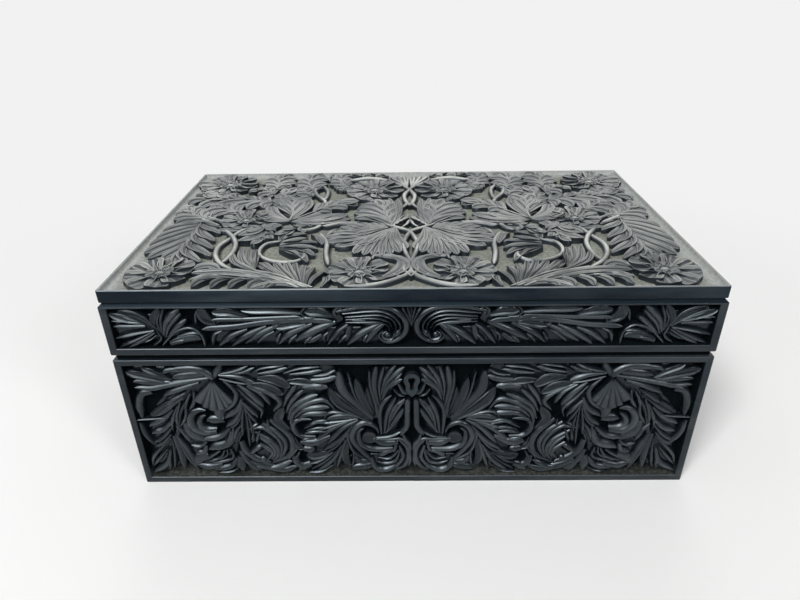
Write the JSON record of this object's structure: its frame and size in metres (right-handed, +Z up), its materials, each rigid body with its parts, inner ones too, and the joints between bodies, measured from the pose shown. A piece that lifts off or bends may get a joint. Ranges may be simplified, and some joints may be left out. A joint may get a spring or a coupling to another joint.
{
  "type": "work box",
  "caption": "Rectangular carved ebony work box with a hinged lid, a box lock with a keyhole escutcheon and a lift-out sewing tray.",
  "frame": {"origin": "centre of the underside, where the box stands", "axes": "+X along the length to the right seen from the keyhole side, +Y to the hinged back, +Z up"},
  "size_m": [0.33, 0.203, 0.135],
  "materials": {
    "ebony": "satin",
    "lining_wood": "satin",
    "lock_brass": "aged",
    "steel": "dull"
  },
  "bodies": {
    "base": {"base_front_wall": "ebony", "base_back_wall": "ebony", "base_left_wall": "ebony", "base_right_wall": "ebony", "bottom_board": "ebony", "bottom_screws": "steel", "front_liner": "lining_wood", "back_liner": "lining_wood", "left_liner": "lining_wood", "right_liner": "lining_wood", "keyhole_escutcheon": "ebony", "lock_plate": "lock_brass", "lock_case": "lock_brass", "lock_spring": "steel", "lock_screws": "lock_brass", "left_hinge_base_leaf": "lock_brass", "right_hinge_base_leaf": "lock_brass", "left_hinge_pin": "steel", "right_hinge_pin": "steel", "hinge_base_screws": "lock_brass"},
    "lid": {"lid_front_wall": "ebony", "lid_back_wall": "ebony", "lid_left_wall": "ebony", "lid_right_wall": "ebony", "lid_top_board": "ebony", "lid_lining_panel": "lining_wood", "lid_lining_beads": "ebony", "link_plate": "lock_brass", "link_screws": "lock_brass", "left_hinge_lid_leaf": "lock_brass", "right_hinge_lid_leaf": "lock_brass", "hinge_lid_screws": "lock_brass"},
    "bolt": {"lock_bolt": "lock_brass"},
    "tray": {"tray_front_wall": "lining_wood", "tray_back_wall": "lining_wood", "tray_left_wall": "lining_wood", "tray_right_wall": "lining_wood", "tray_floor": "lining_wood", "left_long_divider": "lining_wood", "right_long_divider": "lining_wood", "left_cell_divider": "lining_wood", "right_cell_divider": "lining_wood", "reel_row_divider": "lining_wood", "back_row_divider": "lining_wood", "left_reel_divider": "lining_wood", "right_reel_divider": "lining_wood", "cell_ledges": "lining_wood"},
    "front_left_cover": {"front_left_cell_lid": "lining_wood", "front_left_knob": "ebony"},
    "front_right_cover": {"front_right_cell_lid": "lining_wood", "front_right_knob": "ebony"},
    "back_left_cover": {"back_left_cell_lid": "lining_wood", "back_left_knob": "ebony"},
    "back_right_cover": {"back_right_cell_lid": "lining_wood", "back_right_knob": "ebony"}
  },
  "joints": [
    {"name": "lid_hinge", "type": "hinge", "parent": "base", "child": "lid", "pos_m": [0, 0.0992, 0.0943], "axis": [-1, 0, 0], "range_deg": [0, 100]},
    {"name": "bolt_throw", "type": "slide", "parent": "base", "child": "bolt", "axis": [1, 0, 0], "range_m": [0, 0.004]},
    {"name": "tray_lift", "type": "slide", "parent": "base", "child": "tray", "axis": [0, 0, 1], "range_m": [0, 0.014]},
    {"name": "front_left_cover_lift", "type": "slide", "parent": "tray", "child": "front_left_cover", "axis": [0, 0, 1], "range_m": [0, 0.01]},
    {"name": "front_right_cover_lift", "type": "slide", "parent": "tray", "child": "front_right_cover", "axis": [0, 0, 1], "range_m": [0, 0.01]},
    {"name": "back_left_cover_lift", "type": "slide", "parent": "tray", "child": "back_left_cover", "axis": [0, 0, 1], "range_m": [0, 0.01]},
    {"name": "back_right_cover_lift", "type": "slide", "parent": "tray", "child": "back_right_cover", "axis": [0, 0, 1], "range_m": [0, 0.01]}
  ]
}
